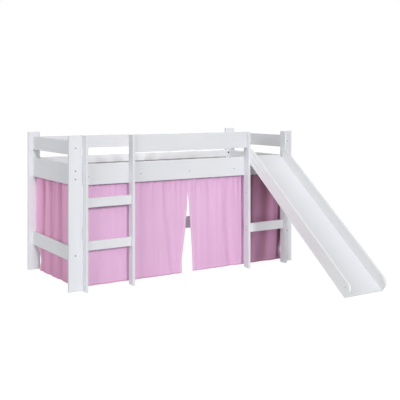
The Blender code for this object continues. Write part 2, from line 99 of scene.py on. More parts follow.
class Recipe:
    """The nodes of a material or of the world, written down step by step."""

    def __init__(self, owner):
        owner.use_nodes = True
        self.owner = owner
        self.tree = owner.node_tree

    def add(self, kind, inputs=None, **settings):
        node = self.tree.nodes.new("ShaderNode" + kind)
        for key, value in settings.items():
            setattr(node, key, value)
        self.fill(node, inputs or {})
        return node

    def fill(self, node, inputs):
        """Links or sets a node's inputs, which are given by name or by number."""
        for key, value in inputs.items():
            if isinstance(value, bpy.types.NodeSocket):
                self.tree.links.new(value, node.inputs[key])
            else:
                node.inputs[key].default_value = value

    def shade(self, inputs):
        """Fills the material's shader, and returns the material."""
        self.fill(self.tree.nodes["Principled BSDF"], inputs)
        return self.owner

    def stretched(self, vector, stretch):
        return self.add("Mapping", {"Vector": vector, "Scale": stretch}).outputs["Vector"]

    def place(self, stretch=(1.0, 1.0, 1.0), turn=(0.0, 0.0, 0.0)):
        """Object coordinates in metres, turned and then scaled."""
        spot = self.add("TexCoord").outputs["Object"]
        turned = self.add("Mapping", {"Vector": spot, "Rotation": turn}).outputs["Vector"]
        return self.stretched(turned, stretch)

    def axes(self, vector):
        """The three parts of a vector, by the names X, Y and Z."""
        return self.add("SeparateXYZ", {"Vector": vector}).outputs

    def noise(self, vector, scale=1.0, detail=2.0, roughness=0.5, distortion=0.0):
        inputs = {
            "Vector": vector,
            "Scale": scale,
            "Detail": detail,
            "Roughness": roughness,
            "Distortion": distortion,
        }
        return self.add("TexNoise", inputs).outputs["Fac"]

    def bands(self, vector, pitch, direction):
        """Soft stripes along a direction, one for each pitch."""
        inputs = {"Vector": vector, "Scale": math.tau / (WAVE_UNIT * pitch)}
        settings = {"wave_type": "BANDS", "bands_direction": direction}
        return self.add("TexWave", inputs, **settings).outputs["Fac"]

    def painted(self, attribute, output="Fac"):
        """A value that the mesh carries at its points."""
        return self.add("Attribute", attribute_name=attribute).outputs[output]

    def span(self, value, before, after):
        """Maps one range onto another, and stops at its ends."""
        inputs = {
            "Value": value,
            "From Min": before[0],
            "From Max": before[1],
            "To Min": after[0],
            "To Max": after[1],
        }
        return self.add("MapRange", inputs).outputs["Result"]

    def maths(self, operation, first, second):
        return self.add("Math", {0: first, 1: second}, operation=operation).outputs[0]

    def plus(self, first, second):
        return self.maths("ADD", first, second)

    def times(self, first, second):
        return self.maths("MULTIPLY", first, second)

    def one_less(self, value):
        return self.maths("SUBTRACT", 1.0, value)

    def blend(self, factor, first, second):
        """Mixes two colours, each a socket or three numbers."""
        inputs = {MIX_FACTOR: factor}
        for key, value in ((MIX_FIRST, first), (MIX_SECOND, second)):
            inputs[key] = value if isinstance(value, bpy.types.NodeSocket) else (*value, 1.0)
        return self.add("Mix", inputs, data_type="RGBA").outputs[MIX_RESULT]

    def bump(self, height, distance, strength, before=None):
        inputs = {"Height": height, "Distance": distance, "Strength": strength}
        if before is not None:
            inputs["Normal"] = before
        return self.add("Bump", inputs).outputs["Normal"]

    def edge_mask(self, radius):
        """One within a radius of sharp edges, and zero on flat faces."""
        rounded = self.add("Bevel", {"Radius": radius}, samples=4).outputs["Normal"]
        flat = self.add("NewGeometry").outputs["Normal"]
        turn = self.add("VectorMath", {0: rounded, 1: flat}, operation="DOT_PRODUCT")
        return self.span(turn.outputs["Value"], EDGE_TURN, (0.0, 1.0))


def material_recipe(name):
    return Recipe(bpy.data.materials.new(name))


def linear(*colour):
    """Linear values, by the sRGB curve, of a colour as it looks on a screen, from 0 to 255."""
    shares = [value / 255.0 for value in colour]
    return tuple(
        share / 12.92 if share <= 0.04045 else ((share + 0.055) / 1.055) ** 2.4
        for share in shares
    )


# Colours. A pair is a light and a dark tone, and the shaded cotton has its crease tone too
LACQUER_COLOUR = linear(226, 228, 231)
LACQUER_SHADE = linear(219, 221, 226)
# Lighter worn edges, partly a painted highlight on the lit edges
LACQUER_EDGE_WEAR_AND_HIGHLIGHT = linear(236, 233, 229)
# Grey of the painted shadow line that the slats cast on the back rail
LACQUER_SLAT_SHADOW = linear(150, 148, 154)
SLIDE_COLOURS = (linear(233, 234, 238), linear(227, 229, 234))
# The flanks share one lacquer, the near one painted lighter and the far one painted darker for how
# light falls on them
NEAR_FLANK_PAINTED_LIGHT_COLOURS = (linear(243, 246, 246), linear(239, 241, 242))
FAR_FLANK_PAINTED_SHADE_COLOURS = (linear(226, 227, 229), linear(221, 222, 225))
# Painted shade on the near flank's top, where the light falls on it
FLANK_TOP_PAINTED_SHADE = linear(236, 236, 238)
CAP_COLOURS = (linear(206, 207, 211), linear(196, 197, 202))
# The crossbar's lacquer is painted lighter, as painted light where the slide shades it
CROSSBAR_PAINTED_LIGHT_COLOURS = (linear(243, 244, 246), linear(238, 240, 243))
PINE_LIGHT = linear(230, 225, 216)
PINE_DARK = linear(213, 205, 193)
PINE_KNOT = linear(150, 112, 80)
FRONT_COTTON = (linear(233, 192, 225), linear(225, 180, 216))
# The end cloth is the same cotton, painted in the redder pink that it shows in shade
END_COTTON_PAINTED_SHADE = (linear(247, 192, 227), linear(240, 180, 218))
# Painted shade of the cotton under the slide: light, dark and crease
SHADED_COTTON = (linear(219, 164, 199), linear(182, 126, 150), linear(143, 93, 113))
# Tones of painted shade in the cloth's creases and folds
FRONT_CREASE_SHADE = linear(188, 128, 172)
END_CREASE_SHADE = linear(190, 122, 158)
THREAD_COLOUR = linear(240, 206, 232)
ZINC_COLOURS = (linear(184, 185, 189), linear(144, 145, 150))
BLACK_COLOURS = (linear(74, 74, 78), linear(48, 48, 52))

# Scales of wood patterns, along the grain and across it
LACQUERED_GRAIN = (3.0, 70.0)
PINE_RINGS = (1.4, 26.0)
PINE_PORES = (9.0, 420.0)
PINE_KNOTS = (3.1, 7.0)

# How far from a board's edges wear and the painted edge highlight show
LACQUER_EDGE_RADIUS = 0.0022
SLIDE_EDGE_RADIUS = 0.0020

# The painted shadow line that the slats cast on the back rail ends this far above the slats, over a
# soft border
SLAT_SHADOW_HEIGHT = 0.0098
SLAT_SHADOW_SOFT = 0.002

# The slide's slope, and the scales of its scuffs across it, down it and square to it
SLIDE_SLOPE = math.radians(38.0)
SCUFF_STRETCH = (160.0, 2.2, 30.0)

# How steeply a face looks up where the painted shade on a board's upper faces starts and is full
PAINTED_TOP_RANGE = (0.2, 0.7)


def along_grain(axis, scales):
    """The stretch of a wood pattern whose grain runs along an axis."""
    long, across = scales
    return tuple(long if axis == name else across for name in "XYZ")


def lacquered_board(axis, name="white_lacquer", rubbed=None):
    """Satin white lacquer over wood: the grain just shows, and the edges are a little worn and
    lighter, which is partly a painted highlight.

    The last argument is the height and the depth up to which the slats cast a painted shadow line on
    the board, if they do.
    """
    recipe = material_recipe(f"{name}_along_{axis.lower()}")
    wood = recipe.place(along_grain(axis, LACQUERED_GRAIN))
    grain = recipe.noise(wood, detail=5.0, roughness=0.62, distortion=0.25)
    cloudy = recipe.noise(recipe.place(), scale=2.3)
    peel = recipe.noise(recipe.place(), scale=420.0, detail=1.0)
    chips = recipe.noise(recipe.place(), scale=38.0, detail=3.0)
    patchy = recipe.span(chips, (0.45, 0.62), (0.1, 1.0))
    # Worn edges in patches, lighter as a painted highlight
    wear_and_highlight = recipe.times(recipe.edge_mask(LACQUER_EDGE_RADIUS), patchy)
    cloud_tone = recipe.span(cloudy, NOISE_RANGE, (0.0, 0.55))
    grain_tone = recipe.span(grain, NOISE_RANGE, (0.0, 0.45))
    tone = recipe.plus(cloud_tone, grain_tone)
    colour = recipe.blend(tone, LACQUER_COLOUR, LACQUER_SHADE)
    colour = recipe.blend(wear_and_highlight, colour, LACQUER_EDGE_WEAR_AND_HIGHLIGHT)
    # A painted shadow line along the board, just above the slats
    if rubbed is not None:
        height, depth = rubbed
        spot = recipe.axes(recipe.place())
        under = recipe.span(spot["Z"], (height - SLAT_SHADOW_SOFT, height), (1.0, 0.0))
        inside = recipe.span(spot["Y"], (depth, depth + SLAT_SHADOW_SOFT), (1.0, 0.0))
        colour = recipe.blend(recipe.times(under, inside), colour, LACQUER_SLAT_SHADOW)
    grain_rough = recipe.span(grain, NOISE_RANGE, (0.36, 0.46))
    normal = recipe.bump(grain, distance=0.0004, strength=0.10)
    return recipe.shade({
        "Base Color": colour,
        "Roughness": recipe.plus(grain_rough, recipe.times(wear_and_highlight, 0.12)),
        "Normal": recipe.bump(peel, distance=0.0001, strength=0.10, before=normal),
        "Coat Weight": 0.12,
        "Coat Roughness": 0.22,
    })


def slide_board(name, light, dark, top=None):
    """Smooth white lacquer, with fine scuffs down the slope and lighter edges as a painted highlight.
    top is a painted shade on faces that look up.
    """
    recipe = material_recipe(name)
    down = recipe.place(SCUFF_STRETCH, turn=(-SLIDE_SLOPE, 0.0, 0.0))
    scuffs = recipe.noise(down, detail=4.0, roughness=0.7)
    cloudy = recipe.noise(recipe.place(), scale=2.0)
    peel = recipe.noise(recipe.place(), scale=300.0, detail=1.0)
    cloud_tone = recipe.span(cloudy, NOISE_RANGE, (0.0, 0.6))
    scuff_tone = recipe.span(scuffs, (0.55, 0.75), (0.0, 0.4))
    tone = recipe.plus(cloud_tone, scuff_tone)
    colour = recipe.blend(tone, light, dark)
    # All edges lighter, a painted highlight
    wear_and_highlight = recipe.times(recipe.edge_mask(SLIDE_EDGE_RADIUS), 0.6)
    colour = recipe.blend(wear_and_highlight, colour, LACQUER_EDGE_WEAR_AND_HIGHLIGHT)
    # Faces that look up get a painted shade
    if top is not None:
        upward = recipe.axes(recipe.add("NewGeometry").outputs["Normal"])["Z"]
        colour = recipe.blend(recipe.span(upward, PAINTED_TOP_RANGE, (0.0, 1.0)), colour, top)
    normal = recipe.bump(scuffs, distance=0.0002, strength=0.06)
    return recipe.shade({
        "Base Color": colour,
        "Roughness": recipe.span(scuffs, (0.35, 0.75), (0.27, 0.42)),
        "Normal": recipe.bump(peel, distance=0.0001, strength=0.06, before=normal),
        "Coat Weight": 0.25,
        "Coat Roughness": 0.14,
    })


def pine(axis):
    """Planed bare pine: long rings that wander, fine pores and a few knots."""
    recipe = material_recipe(f"bare_pine_along_{axis.lower()}")
    waves = {
        "Vector": recipe.place(along_grain(axis, PINE_RINGS)),
        "Scale": 0.9,
        "Distortion": 7.0,
        "Detail": 3.0,
        "Detail Scale": 0.8,
    }
    settings = {"wave_type": "RINGS", "rings_direction": "SPHERICAL"}
    rings = recipe.add("TexWave", waves, **settings).outputs["Fac"]
    fibres = recipe.place(along_grain(axis, PINE_PORES))
    pores = recipe.noise(fibres, detail=4.0, roughness=0.7)
    cells = {"Vector": recipe.place(along_grain(axis, PINE_KNOTS)), "Scale": 1.0}
    distance = recipe.add("TexVoronoi", cells).outputs["Distance"]
    knot = recipe.span(distance, (0.05, 0.11), (1.0, 0.0))
    pore_tone = recipe.span(pores, (0.35, 0.7), (0.0, 0.3))
    tone = recipe.plus(recipe.times(rings, 0.65), pore_tone)
    colour = recipe.blend(tone, PINE_LIGHT, PINE_DARK)
    return recipe.shade({
        "Base Color": recipe.blend(recipe.times(knot, 0.75), colour, PINE_KNOT),
        "Roughness": recipe.span(rings, (0.0, 1.0), (0.66, 0.52)),
        "Normal": recipe.bump(tone, distance=0.0004, strength=0.25),
    })


# Under the slide the front cloth gets a painted shade: where that starts and where it is full
SHADE_START = high("slide_stile_left").x + 0.047
SHADE_END = SHADE_START + 0.032

# There the painted shade goes from its light tone to this share of its dark one, from the crossbar to
# the rail
SHADE_LEVEL = high("slide_crossbar").z
SHADE_SHARE = 0.85

# The front cloth's painted shade changes by this much from the bed's left end to where the slide's
# painted shade starts
FRONT_PAINTED_SHADE_TONES = (-0.25, 0.55)

# The pitch of threads and stitches, and the scales of the slubs for each direction of threads
THREAD_PITCH = 0.0007
STITCH_PITCH = 0.0032
SLUB_STRETCHES = ((900.0, 60.0, 1.0), (50.0, 1100.0, 1.0))


def weave_of(recipe, cloth):
    """Threads over and under each other: one on a thread's back, and zero beside it."""
    over = recipe.add("TexChecker", {"Vector": cloth, "Scale": 1.0 / THREAD_PITCH}).outputs["Fac"]
    warp = recipe.times(recipe.bands(cloth, THREAD_PITCH, "X"), over)
    weft = recipe.times(recipe.bands(cloth, THREAD_PITCH, "Y"), recipe.one_less(over))
    return recipe.plus(warp, weft)


def slubs_of(recipe, cloth):
    """Places where a thread is thicker, along both directions of the cloth."""
    first, second = [recipe.noise(recipe.stretched(cloth, each)) for each in SLUB_STRETCHES]
    return recipe.times(recipe.plus(first, second), 0.5)


def stitches_of(recipe, cloth):
    """The sewn thread along the seams, stitch by stitch."""
    gaps = recipe.bands(recipe.stretched(cloth, (1.0, 0.0, 0.0)), STITCH_PITCH, "X")
    return recipe.times(recipe.painted("seam"), recipe.span(gaps, (0.2, 0.5), (0.35, 1.0)))


def woven_cotton(name, light, dark, crease_shade_colour, shaded=None):
    """Plain woven cotton: threads over and under each other, slubs, soft sheen and seam stitches.

    shaded is the light, dark and crease colour of the painted shade under the slide, for cloth that
    hangs there.
    """
    recipe = material_recipe(name)
    cloth = recipe.painted("cloth", "Vector")
    weave = weave_of(recipe, cloth)
    slub = slubs_of(recipe, cloth)
    sewn = stitches_of(recipe, cloth)
    cloudy = recipe.noise(recipe.place(), scale=5.0, detail=3.0, roughness=0.6)
    slub_tone = recipe.span(slub, (0.38, 0.62), (0.0, 0.35))
    tone = recipe.plus(slub_tone, recipe.span(cloudy, NOISE_RANGE, (0.0, 0.35)))
    tone = recipe.plus(tone, recipe.times(recipe.one_less(weave), 0.3))
    tone = recipe.plus(tone, recipe.times(recipe.painted("doubled"), 0.35))
    if shaded is None:
        colour = recipe.blend(tone, light, dark)
    else:
        spot = recipe.axes(recipe.place())
        # A painted shade that deepens from the bed's left end toward the slide
        tone = recipe.plus(tone, recipe.span(spot["X"], (BED_LEFT, SHADE_START), FRONT_PAINTED_SHADE_TONES))
        # Painted shade under the slide, darker higher up
        painted_shade_share = recipe.span(spot["X"], (SHADE_START, SHADE_END), (0.0, 1.0))
        upward = recipe.span(spot["Z"], (SHADE_LEVEL, RAIL_BOTTOM), (0.0, SHADE_SHARE))
        painted_shade_light, painted_shade_dark, painted_shade_crease = shaded
        painted_shade_colour = recipe.blend(upward, painted_shade_light, painted_shade_dark)
        colour = recipe.blend(painted_shade_share, recipe.blend(tone, light, dark), painted_shade_colour)
        crease_shade_colour = recipe.blend(painted_shade_share, crease_shade_colour, painted_shade_crease)
    # Painted shade in creases, folds and gathers
    colour = recipe.blend(recipe.painted("crease_shade"), colour, crease_shade_colour)
    normal = recipe.bump(weave, distance=0.00018, strength=0.35)
    normal = recipe.bump(slub, distance=0.0003, strength=0.18, before=normal)
    return recipe.shade({
        "Base Color": recipe.blend(recipe.times(sewn, 0.8), colour, THREAD_COLOUR),
        "Roughness": recipe.span(weave, (0.0, 1.0), (0.95, 0.82)),
        "Normal": recipe.bump(sewn, distance=0.0005, strength=0.4, before=normal),
        "Sheen Weight": 0.10,
        "Sheen Roughness": 0.45,
        "Specular IOR Level": 0.25,
    })


def bolt_finish(name, light, dark, metallic):
    """Plated steel: fine turned marks, dull patches."""
    recipe = material_recipe(name)
    patches = recipe.noise(recipe.place(), scale=700.0, detail=4.0, roughness=0.65)
    marks = recipe.noise(recipe.place((1500.0, 1500.0, 6000.0)), detail=1.0)
    dull = recipe.span(patches, (0.35, 0.65), (0.0, 1.0))
    return recipe.shade({
        "Base Color": recipe.blend(dull, light, dark),
        "Roughness": recipe.span(patches, NOISE_RANGE, (0.34, 0.55)),
        "Normal": recipe.bump(marks, distance=0.00005, strength=0.3),
        "Metallic": metallic,
    })


# Up to where the slats' painted shadow line lies on the back rail: the height and the depth
SLAT_SHADOW_PLACE = (high("slat_01").z + SLAT_SHADOW_HEIGHT, low("bed_rail_back").y + SLAT_SHADOW_SOFT)

LACQUERS = {axis: lacquered_board(axis) for axis in "XYZ"}
PINES = {axis: pine(axis) for axis in "XY"}
CHUTE_FINISH = slide_board("slide_lacquer_scuffed", *SLIDE_COLOURS)
CAP_FINISH = slide_board("slide_cap_grey", *CAP_COLOURS)
FRONT_CLOTH = woven_cotton("pink_cotton_front", *FRONT_COTTON, FRONT_CREASE_SHADE, SHADED_COTTON)
# The end cloth with its painted shade colours
END_CLOTH_PAINTED_SHADE = woven_cotton("pink_cotton_end_painted_shade", *END_COTTON_PAINTED_SHADE, END_CREASE_SHADE)
STEEL_FINISH = bolt_finish("zinc_plated_steel", *ZINC_COLOURS, 0.85)
BLACK_FINISH = bolt_finish("black_steel", *BLACK_COLOURS, 0.30)

OWN_FINISHES = {
    # The back rail gets the slats' painted shadow line
    "bed_rail_back": lacquered_board("X", "white_lacquer_rubbed", SLAT_SHADOW_PLACE),
    "slide_crossbar": slide_board("white_lacquer_crossbar_painted_light", *CROSSBAR_PAINTED_LIGHT_COLOURS),
    # Flanks with painted light and painted shade
    "slide_flank_left": slide_board("slide_lacquer_near_painted_light", *NEAR_FLANK_PAINTED_LIGHT_COLOURS, FLANK_TOP_PAINTED_SHADE),
    "slide_flank_right": slide_board("slide_lacquer_far_painted_shade", *FAR_FLANK_PAINTED_SHADE_COLOURS),
}


def longest_axis(node):
    lowest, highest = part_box(node)
    sides = list(highest - lowest)
    return "XYZ"[sides.index(max(sides))]


def finish_of(name):
    """The material of a node of the frame. Boards have their grain along their longest side."""
    if name in OWN_FINISHES:
        return OWN_FINISHES[name]
    if name.startswith("slide_") and "stile" not in name:
        return CHUTE_FINISH
    if name.startswith("slat_"):
        return PINES[longest_axis(name)]
    if name.startswith("curtain_") and "strip" not in name:
        return FRONT_CLOTH
    return LACQUERS[longest_axis(name)]


def dress_frame():
    for name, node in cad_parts.items():
        for place in node.material_slots:
            place.material = finish_of(name)


# Pieces

def into_scene(name, data):
    """Makes an object and puts it in the scene."""
    thing = bpy.data.objects.new(name, data)
    bpy.context.scene.collection.objects.link(thing)
    return thing


def mesh_piece(name, points, faces, material, smooth_angle):
    """A mesh object with smooth shading up to an angle, which rides on the bed."""
    shape = bmesh.new()
    corners = [shape.verts.new(point) for point in points]
    for face in faces:
        shape.faces.new([corners[corner] for corner in face])
    bmesh.ops.recalc_face_normals(shape, faces=shape.faces)
    limit = math.radians(smooth_angle)
    for face in shape.faces:
        face.smooth = True
    for edge in shape.edges:
        if len(edge.link_faces) == 2 and edge.calc_face_angle(0.0) > limit:
            edge.smooth = False
    mesh = bpy.data.meshes.new(name)
    shape.to_mesh(mesh)
    shape.free()
    mesh.materials.append(material)
    piece = into_scene(name, mesh)
    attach(piece, BODY)
    return piece


# Curtains

# The cloth, its gaps to the strip and under the node's top, and the steps of its mesh
CLOTH_THICK = 0.0011
CLOTH_GAP = 0.0004
CLOTH_SMOOTH_ANGLE = 50.0
TOP_GAP = 0.0005
COLUMN_STEP = 0.0050
ROW_STEP = 0.012

# The hems: how much thicker they are, how wide at the top and foot and at the sides, and the painted
# shade of the foot's last stretch. The slack is for rounding
HEM_EXTRA = 0.0009
HEM_HEIGHT = 0.018
SIDE_HEM = 0.012
HEM_EDGE = 0.006
HEM_EDGE_SHADE = 0.60
HEM_SLACK = 0.0001

# Half a seam's width. At the sides it takes in one column of the mesh
SEAM_HALF = 0.0016
SIDE_SEAM_HALF = COLUMN_STEP * 0.6

# The seam of the hem puckers: how deep, how far above and below it, and how often
PUCKER_DEPTH = 0.0005
PUCKER_REACH = 0.012
PUCKER_PITCH = 0.0135

# Gathers at the strip: depth, spacing, how far down they reach, how deep their painted shade is, and
# how much darker the cloth gets toward the hem
FRONT_GATHERS = (0.0130, 0.050, 0.120, 0.10, 0.07)
END_GATHERS = (0.0160, 0.062, 0.200, 0.45, 0.30)

# All gathers: the share of their depth that is left far down, how sharply they fade to it, and
# their mean size
GATHER_REST = 0.10
GATHER_POWER = 1.4
GATHER_SIZE = 0.80

# What makes the gathers uneven: the noise's scale along the strip, its strength and its seed. The
# level is the noise's third coordinate
TURN_NOISE = (6.0, 4.4, 0.0)
SIZE_NOISE = (11.0, 0.5, 4.0)
REACH_NOISE = (15.0, 0.8, 8.0)
NOISE_LEVEL = 0.37

# A soft wave over the whole cloth: its depth, its scales along and down the cloth, and its seed
SOFT_DEPTH = 0.0022
SOFT_SCALES = (22.0, 2.6)
SOFT_SEED = 12.0

# Folds reach their depth this far under the strip, and lose this share of their painted shade at the
# hem
FOLD_ONSET = 0.110
FOLD_FADE = 0.60

# The left end's cloth leans out under its strip, by this much and between these drops
END_LEAN = 0.0105
LEAN_DROPS = (0.027, 0.070)

# Folds that fall from the strip, in metres: where the valley lies at the three fold heights,
# from the bed's left end or its front, how far it reaches to each side, its depth above and at
# the hem, and how deep the painted shade in its valley is
FOLD_HEIGHTS = (0.72, 0.36, 0.02)
FRONT_LEFT_FOLDS = (
    (0.240, 0.235, 0.235, 0.050, 0.055, 0.007, 0.005, 0.0),
    (0.425, 0.420, 0.420, 0.055, 0.055, 0.007, 0.005, 0.0),
    (0.632, 0.632, 0.622, 0.050, 0.042, 0.009, 0.006, 0.08),
    (0.728, 0.728, 0.728, 0.028, 0.028, 0.003, 0.001, 0.05),
    (0.815, 0.845, 0.890, 0.042, 0.042, 0.010, 0.007, 0.12),
)
FRONT_RIGHT_FOLDS = (
    (1.100, 1.095, 1.090, 0.050, 0.050, 0.006, 0.001, 0.0),
    (1.228, 1.240, 1.245, 0.048, 0.045, 0.008, 0.003, 0.0),
    (1.395, 1.400, 1.440, 0.052, 0.048, 0.009, 0.013, 0.12),
    (1.630, 1.630, 1.630, 0.046, 0.050, 0.006, 0.008, 1.40),
    (1.815, 1.800, 1.765, 0.115, 0.065, 0.024, 0.010, 0.95),
    (1.965, 1.950, 1.928, 0.036, 0.045, 0.006, 0.009, 1.90),
)
END_LEFT_FOLDS = (
    (0.352, 0.345, 0.325, 0.070, 0.075, 0.022, 0.009, 0.62),
    (0.472, 0.472, 0.472, 0.026, 0.026, 0.010, 0.000, 0.40),
    (0.545, 0.530, 0.540, 0.044, 0.058, 0.024, 0.009, 0.64),
    (0.695, 0.710, 0.715, 0.070, 0.072, 0.020, 0.008, 0.56),
)
END_RIGHT_FOLDS = (
    (0.230, 0.240, 0.235, 0.070, 0.060, 0.018, 0.012, 0.40),
    (0.405, 0.400, 0.410, 0.060, 0.070, 0.020, 0.012, 0.40),
    (0.580, 0.595, 0.590, 0.060, 0.060, 0.018, 0.012, 0.35),
    (0.745, 0.735, 0.740, 0.055, 0.060, 0.020, 0.011, 0.40),
)

# Edges of the cloth: height above the floor, and shift along the strip from the frame's edge
SLIT_LEFT_EDGE = (
    (0.024, -0.0465), (0.101, -0.050), (0.234, -0.0345), (0.367, -0.0165),
    (0.455, -0.009), (0.548, 0.000), (0.627, 0.004), (0.650, 0.0072), (0.80, 0.0072),
)
SLIT_RIGHT_EDGE = (
    (0.024, 0.0517), (0.226, 0.043), (0.362, 0.030), (0.453, 0.0227),
    (0.546, 0.017), (0.627, 0.0105), (0.650, 0.0080), (0.80, 0.0080),
)
RIGHT_EDGE = (
    (0.02, 0.026), (0.045, 0.020), (0.075, 0.008), (0.110, 0.006), (0.150, 0.015), (0.200, 0.024),
    (0.29, 0.026), (0.50, 0.020), (0.80, 0.004),
)
BACK_EDGE = (
    (0.010, -0.070), (0.035, -0.074), (0.059, -0.083), (0.083, -0.093), (0.107, -0.094),
    (0.131, -0.086), (0.156, -0.070), (0.185, -0.052), (0.24, -0.020), (0.30, 0.0), (0.80, 0.0),
)
STRAIGHT = ((0.0, 0.0), (1.0, 0.0))

# Each curtain: its strip, the axis that it hangs along, the side that it faces on the other axis,
# the hem's height above the floor at its two edges, the shape of these edges, its folds and
# gathers, how far it leans out, the seed of its noise, and its material
CURTAINS = {
    "front_left": {
        "strip": "curtain_strip_front",
        "axis": "X",
        "outward": -1,
        "hem": (0.0190, 0.0145),
        "edges": (STRAIGHT, SLIT_LEFT_EDGE),
        "folds": FRONT_LEFT_FOLDS,
        "gathers": FRONT_GATHERS,
        "lean": 0.0,
        "seed": 1.3,
        "material": FRONT_CLOTH,
    },
    "front_right": {
        "strip": "curtain_strip_front",
        "axis": "X",
        "outward": -1,
        "hem": (0.0190, 0.0155),
        "edges": (SLIT_RIGHT_EDGE, RIGHT_EDGE),
        "folds": FRONT_RIGHT_FOLDS,
        "gathers": FRONT_GATHERS,
        "lean": 0.0,
        "seed": 5.1,
        "material": FRONT_CLOTH,
    },
    "end_left": {
        "strip": "curtain_strip_left",
        "axis": "Y",
        "outward": -1,
        "hem": (0.0255, 0.0060),
        "edges": (STRAIGHT, BACK_EDGE),
        "folds": END_LEFT_FOLDS,
        "gathers": END_GATHERS,
        "lean": END_LEAN,
        "seed": 9.4,
        "material": END_CLOTH_PAINTED_SHADE,
    },
    "end_right": {
        "strip": "curtain_strip_right",
        "axis": "Y",
        "outward": 1,
        "hem": (0.0200, 0.0150),
        "edges": (STRAIGHT, STRAIGHT),
        "folds": END_RIGHT_FOLDS,
        "gathers": END_GATHERS,
        "lean": 0.0,
        "seed": 14.2,
        "material": END_CLOTH_PAINTED_SHADE,
    },
}


def smooth_curve(points):
    """A smooth line through (height, shift) points, as a function of height."""
    heights = np.array([point[0] for point in points])
    shifts = np.array([point[1] for point in points])
    slopes = np.gradient(shifts, heights)

    def at(height):
        height = np.clip(height, heights[0], heights[-1])
        index = np.clip(np.searchsorted(heights, height) - 1, 0, len(heights) - 2)
        step = heights[index + 1] - heights[index]
        part = (height - heights[index]) / step
        rise = shifts[index] * (2 * part**3 - 3 * part**2 + 1)
        rise += slopes[index] * step * (part**3 - 2 * part**2 + part)
        rise += shifts[index + 1] * (3 * part**2 - 2 * part**3)
        return float(rise + slopes[index + 1] * step * (part**3 - part**2))

    return at


def through_three(places, height):
    """A smooth line through three places, at the three fold heights."""
    total = 0.0
    for index, place in enumerate(places):
        share = 1.0
        for other, level in enumerate(FOLD_HEIGHTS):
            if other != index:
                share *= (height - level) / (FOLD_HEIGHTS[index] - level)
        total += place * share
    return total


def wander(values, settings, seed):
    """Smooth noise along a line, around zero."""
    scale, strength, own_seed = settings
    row = seed + own_seed
    spots = [Vector((value * scale, row, NOISE_LEVEL)) for value in values]
    return strength * np.array([noise.noise(spot) for spot in spots])


def soft_wave(values, drop, seed):
    """Smooth noise over the cloth, around zero, for one row."""
    along, down = SOFT_SCALES
    spots = [Vector((value * along, drop * down, seed + SOFT_SEED)) for value in values]
    return np.array([noise.noise(spot) for spot in spots])


def ease(share):
    share = np.clip(share, 0.0, 1.0)
    return share * share * (3.0 - 2.0 * share)


def fold_depths(plan, along, height, drop, full_drop):
    """How far each point of one row stands behind the strip, and how much painted shade its creases
    get.
    """
    seed = plan["seed"]
    lowered = drop / full_drop
    grown = ease(drop / FOLD_ONSET)
    most, spacing, fade, gather_shade, foot_tone = plan["gathers"]
    turn = math.tau * along / spacing + wander(along, TURN_NOISE, seed)
    size = GATHER_SIZE + wander(along, SIZE_NOISE, seed)
    reach = fade * (1.0 + wander(along, REACH_NOISE, seed))
    kept = GATHER_REST + (1.0 - GATHER_REST) * np.exp(-((drop / reach) ** GATHER_POWER))
    gathered = size * (1.0 + np.sin(turn)) / 2 * kept
    depth = most * gathered
    crease_shade = gather_shade * gathered + foot_tone * lowered**2
    for first, second, third, before, after, above, below, fold_shade in plan["folds"]:
        offset = along - through_three((first, second, third), height)
        share = np.abs(offset) / np.where(offset < 0.0, before, after)
        shape = (1.0 + np.cos(math.pi * np.minimum(share, 1.0))) / 2
        depth = depth + (above + (below - above) * lowered) * grown * shape
        crease_shade = crease_shade + fold_shade * shape * (1.0 - FOLD_FADE * lowered)
    depth = depth + SOFT_DEPTH * grown * (1.0 + soft_wave(along, drop, seed))
    lean_start, lean_end = LEAN_DROPS
    depth = depth - plan["lean"] * ease((drop - lean_start) / (lean_end - lean_start))
    return depth, np.clip(crease_shade, 0.0, 1.0)


def row_drops(full_drop):
    """Distances of the rows under the top edge, with close rows at the seam of the hem."""
    seam = full_drop - HEM_HEIGHT
    plain_end = seam - 3 * SEAM_HALF
    plain = np.linspace(0.0, plain_end, int(plain_end / ROW_STEP) + 1)
    near = np.array([seam - SEAM_HALF, seam, seam + SEAM_HALF, seam + 3 * SEAM_HALF])
    last = np.linspace(seam + 5 * SEAM_HALF, full_drop, 3)
    return np.concatenate([plain, near, last])


def curtain_rows(node, plan):
    """The rows of one gathered curtain, and its full drop.

    A row is its drop and, for each of its points, the height, the place along the strip, the
    depth behind it and the painted shade of its creases.
    """
    lowest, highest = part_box(node)
    run = plan["axis"].lower()
    first_edge = getattr(lowest, run)
    last_edge = getattr(highest, run)
    origin = BED_LEFT if plan["axis"] == "X" else FRONT_FACE
    top = highest.z - TOP_GAP
    hem_start, hem_end = plan["hem"]
    full_drop = top - (hem_start + hem_end) / 2
    columns = int((last_edge - first_edge) / COLUMN_STEP)
    shares = np.linspace(0.0, 1.0, columns + 1)
    stretch = (top - (hem_start + (hem_end - hem_start) * shares)) / full_drop
    start_curve, end_curve = [smooth_curve(edge) for edge in plan["edges"]]
    rows = []
    for drop in row_drops(full_drop):
        height = top - drop
        begin = first_edge + start_curve(height)
        width = last_edge + end_curve(height) - begin
        along = begin + width * shares
        depth, crease_shade = fold_depths(plan, along - origin, height, drop, full_drop)
        hem_gap = full_drop - HEM_HEIGHT - drop
        pucker = PUCKER_DEPTH * math.exp(-abs(hem_gap) / PUCKER_REACH)
        depth = depth + pucker * (1.0 + np.sin(math.tau * along / PUCKER_PITCH))
        if drop > full_drop - HEM_EDGE:
            # The foot's last stretch gets a painted shade
            crease_shade = np.maximum(crease_shade, HEM_EDGE_SHADE)
        rows.append((drop, top - drop * stretch, along, depth, crease_shade))
    return rows, full_drop


def row_lengths(along, depth):
    """How far each point of a row lies from its first one, along the cloth."""
    steps = np.hypot(np.diff(along), np.diff(depth))
    return np.concatenate([[0.0], np.cumsum(steps)])


